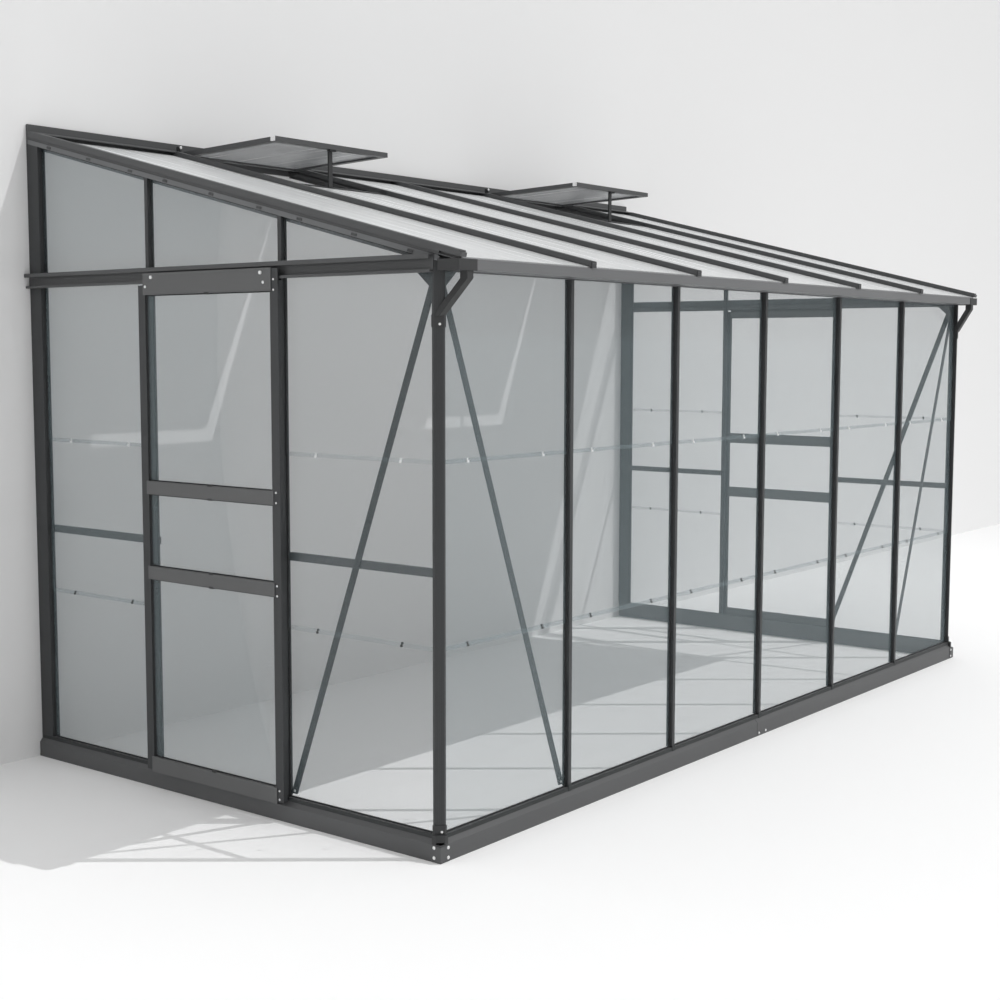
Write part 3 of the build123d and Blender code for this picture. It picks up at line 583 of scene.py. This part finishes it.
def fit_seals():
    """Rubber beads where the panes meet the bars, posts, base, rafters and door frame."""
    bead = strip(0.0035, 0.0040, 0.0012)
    half = 0.00175
    beside = CAP_HALF + half
    runs = []
    bar_sides = [line + way * beside for line in BAR_LINES for way in (-1, 1)]
    for x in bar_sides + [-POST_EDGE + half, POST_EDGE - half]:
        runs += pane_runs(Vector((x, FRONT, 0.0)), AHEAD)
    edges = [GABLE_FRONT_EDGE + half, POST_LINES[0] - beside, POST_LINES[1] + beside, GABLE_BACK_EDGE - half]
    side_runs = []
    for y in edges:
        side_runs += pane_runs(Vector((-GABLE, y, 0.0)), LEFT)
    top_face = -GABLE + 0.0042
    for y in edges + [POST_LINES[0] + beside, POST_LINES[1] - beside]:
        side_runs.append(run((top_face, y, 1.682), (top_face, y, roof_height(y, -0.028)), LEFT))
    low_end, high_end = -0.868, 0.912
    skirt_foot = [(top_face, y, roof_height(y, -0.030)) for y in (low_end, high_end)]
    side_runs.append(run(*skirt_foot, LEFT))
    lines = [-POST_EDGE] + BAR_LINES + [POST_EDGE]
    foot_step = 0.0013
    for low, high in zip(lines, lines[1:]):
        y = FRONT - foot_step
        runs.append(run((low + CAP_HALF, y, BASE_TOP), (high - CAP_HALF, y, BASE_TOP), UP))
    fixed_bays = [(GABLE_FRONT_EDGE, POST_LINES[0] - CAP_HALF), (POST_LINES[1] + CAP_HALF, GABLE_BACK_EDGE)]
    for low, high in fixed_bays:
        x = -GABLE - foot_step
        side_runs.append(run((x, low, BASE_TOP), (x, high, BASE_TOP), UP))
    set_out(bead, runs + both(side_runs), "glazing_beads", "frame", "rubber")

    door_runs = []
    x = DOOR_GLASS + 0.0002
    bead_ends = (DOOR_PANE_FRONT + 2 * half, DOOR_PANE_BACK - 2 * half)
    for low, high in DOOR_PANES:
        for y in (DOOR_PANE_FRONT + half, DOOR_PANE_BACK - half):
            door_runs.append(run((x, y, low), (x, y, high), LEFT))
        for z in (low + half, high - half):
            door_runs.append(run((x, bead_ends[0], z), (x, bead_ends[1], z), LEFT))
    set_out(bead, door_runs, "left_door_beads", "left_door", "rubber")
    set_out(bead, mirrored(door_runs), "right_door_beads", "right_door", "rubber")

    lip = strip(0.0115, 0.0010, 0.0004)
    lip_z = 0.0705
    reach = CAP_HALF + 0.003
    lip_runs = []
    lines = [-1.850 - reach] + BAR_LINES + [1.850 + reach]
    for low, high in zip(lines, lines[1:]):
        y = FRONT - CAP_REACH
        lip_runs.append(run((low + reach, y, lip_z), (high - reach, y, lip_z), AHEAD))
    side_runs = []
    for low, high in [(-0.873, POST_LINES[0] - reach), (POST_LINES[1] + reach, 0.970)]:
        x = -GABLE - CAP_REACH
        side_runs.append(run((x, low, lip_z), (x, high, lip_z), LEFT))
    set_out(lip, lip_runs + both(side_runs), "base_seal", "frame", "seal")
    clear_away(bead, lip)


def fit_bolts():
    """Bolts of the base, posts, braces, vents and doors."""
    head = bolt()
    places = [
        spot((-1.8855, -0.8840, 0.0436), LEFT, size=0.9),
        spot((-1.8855, -0.8840, 0.0145), LEFT, size=0.9),
        spot((-1.8527, -0.9085, 0.0416), AHEAD, size=0.9),
        spot((-1.8527, -0.9085, 0.0125), AHEAD, size=0.9),
        spot((-1.8605, -0.8917, 0.0848), SLANT, size=0.65),
        spot((-1.8628, -0.8894, 1.5189), SLANT, size=0.65),
        spot((-1.8500, -0.2890, 0.0930), LEFT, size=0.8),
        spot((-1.2580, -0.8730, 0.0930), AHEAD, size=0.8),
        spot((-1.2275, 0.9270, 2.2070), AHEAD),
        spot((-0.6325, 0.9270, 2.2070), AHEAD),
    ]
    splice = [spot((x, -0.9060, 0.0110), AHEAD, size=0.8) for x in (-0.022, 0.030)]
    set_out(head, both(places) + splice, "frame_bolts", "frame", "zinc")
    door = [spot((PLATE_FACE, y, 1.649), LEFT, size=0.8) for y in (0.319, -0.228)]
    door += [spot((STILE_FACE - 0.0005, STILE_LINE, z), LEFT, size=0.6) for z in (1.657, 1.626)]
    rail_bolts = (1.019, 0.988, 0.735, 0.704, 0.099, 0.072)
    door += [spot((STILE_FACE, STILE_LINE, z), LEFT, size=0.6) for z in rail_bolts]
    set_out(head, door, "left_door_bolts", "left_door", "zinc")
    set_out(head, mirrored(door), "right_door_bolts", "right_door", "zinc")
    clear_away(head)


def fit_lap_clips():
    """Two spring clips at each lap of the fixed panes, all of one steel; the upper near ones wear bright zinc
    as a painted highlight, and the lower and far ones are painted dark as painted shade.
    """
    clip = lap_clip()
    inset = 0.130
    shaded_clip_places, highlit_clip_places = [], []
    for foot, places in zip(PANE_LOWS[1:], (shaded_clip_places, highlit_clip_places)):
        lines = [-GABLE] + BAR_LINES + [GABLE]
        for low, high in zip(lines, lines[1:]):
            for x in (low + inset, high - inset):
                places.append(spot((x, FRONT + 0.0001, foot), UP, AHEAD))
        side = []
        for low, high in [(GABLE_FRONT_EDGE, POST_LINES[0]), (POST_LINES[1], GABLE_BACK_EDGE)]:
            for y in (low + inset, high - inset):
                side.append(spot((-GABLE + 0.0001, y, foot), UP, LEFT))
        places += side
        shaded_clip_places += mirrored(side)
    # Painted light: the upper near clips take bright zinc as a painted highlight, and the lower and far clips
    # take dark zinc as painted shade.
    set_out(clip, highlit_clip_places, "painted_highlight_lap_clips", "frame", "zinc")
    set_out(clip, shaded_clip_places, "painted_shade_lap_clips", "frame", "painted_shade_zinc")
    clear_away(clip)


def fit_plates():
    """Foot tabs of the bars, rafter covers with their end plates, post ribs, door clips and vent hinges."""
    foot = tab(0.019, 0.020, 0.0022, 0.0007)
    places = [spot((x, FRONT - CAP_REACH, 0.074), AHEAD) for x in BAR_LINES]
    places += both([spot((-GABLE - CAP_REACH, y, 0.074), LEFT) for y in POST_LINES])
    set_out(foot, places, "bar_foot_tabs", "frame", "seal")

    cover = rafter_cover()
    runs = []
    for x in [-GABLE] + BAR_LINES + [GABLE]:
        ends = [(x, y, roof_height(y, CAP_REACH)) for y in (-0.9700, 0.9260)]
        runs.append(run(*ends, ROOF_OUT))
    set_out(cover, runs, "rafter_covers", "frame", "y_section")

    end_plate = tab(0.024, 0.0200, 0.0025, 0.0006)
    places = [spot((x, -0.9720, 1.7060), AHEAD) for x in BAR_LINES]
    set_out(end_plate, places, "rafter_end_plates", "frame", "z_section")

    rib = strip(0.0018, 0.0009, 0.0004)
    across = Vector((1.0, -1.0, 0.0)).normalized()
    runs = []
    for step in (-0.0090, -0.0030, 0.0030, 0.0090):
        foot_point = Vector((-1.8625, -0.8855, 0.0)) + across * step
        for low, high in ((0.104, 1.510), (1.545, 1.680)):
            runs.append(run(foot_point + UP * low, foot_point + UP * high, SLANT))
    set_out(rib, both(runs), "corner_post_ribs", "frame", "z_section")

    seam = strip(0.0016, 0.0004, 0.0002)
    x = -0.036
    runs = [run((x, -0.906, 0.001), (x, -0.906, 0.051), AHEAD)]
    runs.append(run((x, -0.906, 0.051), (x, -0.895, 0.064), Vector((0.0, -0.763, 0.646))))
    set_out(seam, runs, "base_splice_seam", "frame", "rubber")

    spring = rimmed_clip()
    places = []
    for y in (0.847, 0.632, 0.417, 0.245, 0.028, -0.186, -0.357, -0.577, -0.791):
        places.append(spot((-GABLE - CAP_REACH, y, roof_height(y, -0.021)), LEFT, ROOF_OUT))
    set_out(spring, both(places), "edge_rafter_clips", "frame", "y_section")

    bump = tab(0.022, 0.008, 0.010, 0.0015)
    places = [spot((-GABLE - 0.0303, 0.0265, z), LEFT) for z in (1.024, 0.981, 0.745, 0.702, 1.623, 0.109)]
    set_out(bump, places, "left_door_clips", "left_door", "moulding")
    set_out(bump, mirrored(places), "right_door_clips", "right_door", "moulding")

    stile_top = tab(0.034, 0.050, 0.0040, 0.0010)
    places = [spot((STILE_FACE + 0.0035, -0.271, 1.665), LEFT)]
    set_out(stile_top, places, "left_stile_tops", "left_door", "z_section")
    set_out(stile_top, mirrored(places), "right_stile_tops", "right_door", "z_section")

    hinge = knuckle()
    places = [Matrix.Translation((x, 0.938, 2.1895)) for x in (-1.2275, -0.6325)]
    set_out(hinge, both(places), "vent_hinges", "frame", "moulding")

    plug = tab(0.020, 0.016, 0.0060, 0.0015)
    places = [spot((-1.2250, 0.4285, 2.1993), LEFT), spot((-0.6350, 0.4285, 2.1993), -LEFT)]
    set_out(plug, both(places), "vent_bar_plugs", "frame", "zinc")

    saddle = tab(0.034, 0.016, 0.0060, 0.0015)
    places = [spot((-0.930, 0.4285, 2.1900), -UP, AHEAD)]
    set_out(saddle, both(places), "vent_stay_saddles", "frame", "moulding")
    clear_away(foot, cover, end_plate, rib, seam, spring, bump, stile_top, hinge, plug, saddle)


fit_seals()
fit_bolts()
fit_lap_clips()
fit_plates()


# Stage: a pale floor that fades into the background, a plain world and one soft sun
def pale_world():
    world = bpy.data.worlds.new("pale_room")
    bpy.context.scene.world = world
    world.use_nodes = True
    tree = world.node_tree
    tree.nodes.clear()
    path = tree.nodes.new("ShaderNodeLightPath")
    seen = tree.nodes.new("ShaderNodeMath")
    seen.operation = "MAXIMUM"
    tree.links.new(path.outputs["Is Camera Ray"], seen.inputs[0])
    tree.links.new(path.outputs["Is Glossy Ray"], seen.inputs[1])
    also = tree.nodes.new("ShaderNodeMath")
    also.operation = "MAXIMUM"
    tree.links.new(seen.outputs[0], also.inputs[0])
    tree.links.new(path.outputs["Is Transmission Ray"], also.inputs[1])
    way = tree.nodes.new("ShaderNodeTexCoord")
    split = tree.nodes.new("ShaderNodeSeparateXYZ")
    tree.links.new(way.outputs["Generated"], split.inputs[0])
    level = tree.nodes.new("ShaderNodeMapRange")
    tree.links.new(split.outputs["Z"], level.inputs[0])
    level.inputs["To Min"].default_value = 0.27
    level.inputs["To Max"].default_value = 1.05
    light = tree.nodes.new("ShaderNodeBackground")
    light.inputs["Color"].default_value = (1.0, 1.0, 1.0, 1.0)
    tree.links.new(level.outputs[0], light.inputs["Strength"])
    shown = tree.nodes.new("ShaderNodeBackground")
    shown.inputs["Color"].default_value = (0.775, 0.775, 0.775, 1.0)
    shown.inputs["Strength"].default_value = 1.0
    mix = tree.nodes.new("ShaderNodeMixShader")
    tree.links.new(also.outputs[0], mix.inputs[0])
    tree.links.new(light.outputs[0], mix.inputs[1])
    tree.links.new(shown.outputs[0], mix.inputs[2])
    out = tree.nodes.new("ShaderNodeOutputWorld")
    tree.links.new(mix.outputs[0], out.inputs["Surface"])


def pale_floor():
    bpy.ops.object.select_all(action="DESELECT")
    bpy.ops.mesh.primitive_plane_add(size=120.0)
    floor = bpy.context.object
    floor.name = "pale_floor"
    paint = Finish("pale_floor_paint")
    x, y, _ = paint.axes(paint.place())
    reach = (x * x + y * y) ** 0.5
    far = paint.add("ShaderNodeMapRange", {"clamp": True}, {0: reach, 1: 4.0, 2: 11.0})
    paint.set(Base_Color=(0.96, 0.96, 0.96, 1.0), Roughness=0.9)
    glow = paint.add("ShaderNodeEmission", {}, {"Color": (0.775, 0.775, 0.775, 1.0)})
    near = Tone(paint, paint.shader.outputs[0])
    mixed = paint.add("ShaderNodeMixShader", {}, {0: far, 1: near, 2: glow})
    paint.fill(paint.output, {"Surface": mixed})
    floor.data.materials.append(paint.material)


def pale_backdrop():
    """Upright sheet just behind the part, seen from the front side alone."""
    bpy.ops.object.select_all(action="DESELECT")
    bpy.ops.mesh.primitive_plane_add(size=60.0)
    sheet = bpy.context.object
    sheet.name = "pale_backdrop"
    sheet.data.transform(Matrix.Rotation(math.radians(90.0), 4, "X"))
    sheet.data.transform(Matrix.Translation((0.0, BACK + 0.002, 0.0)))
    paint = Finish("pale_backdrop_paint")
    paint.set(Base_Color=(0.90, 0.90, 0.90, 1.0), Roughness=0.9)
    behind = paint.add("ShaderNodeNewGeometry", out="Backfacing")
    front = Tone(paint, paint.shader.outputs[0])
    clear = paint.add("ShaderNodeBsdfTransparent")
    mixed = paint.add("ShaderNodeMixShader", {}, {0: behind, 1: front, 2: clear})
    paint.fill(paint.output, {"Surface": mixed})
    sheet.data.materials.append(paint.material)


def soft_sun():
    bpy.ops.object.light_add(type="SUN", location=(3.0, 3.0, 6.0))
    sun = bpy.context.object
    sun.name = "soft_sun"
    travel = Vector((-0.356, 0.441, -0.825))
    sun.rotation_euler = travel.to_track_quat("-Z", "Y").to_euler()
    sun.data.energy = 1.25
    sun.data.angle = math.radians(0.3)


def photo_camera():
    """Camera at the viewing place that was fitted to the picture."""
    yaw, pitch, roll = math.radians(38.083), math.radians(5.5165), math.radians(0.106)
    look = Vector((math.cos(yaw) * math.cos(pitch), math.sin(yaw) * math.cos(pitch), -math.sin(pitch)))
    right = Vector((math.sin(yaw), -math.cos(yaw), 0.0))
    up = right.cross(look)
    side = right * math.cos(roll) + up * math.sin(roll)
    top = up * math.cos(roll) - right * math.sin(roll)
    data = bpy.data.cameras.new("photo_camera")
    data.sensor_width = 36.0
    data.lens = 54.815
    camera = bpy.data.objects.new("photo_camera", data)
    bpy.context.scene.collection.objects.link(camera)
    turn = Matrix((side, top, -look)).transposed().to_4x4()
    camera.matrix_world = Matrix.Translation((-5.07674, -3.61952, 1.44002)) @ turn
    bpy.context.scene.camera = camera


pale_world()
pale_floor()
pale_backdrop()
soft_sun()
photo_camera()
bpy.context.scene.view_settings.view_transform = "Standard"
bpy.context.scene.cycles.transparent_max_bounces = 32
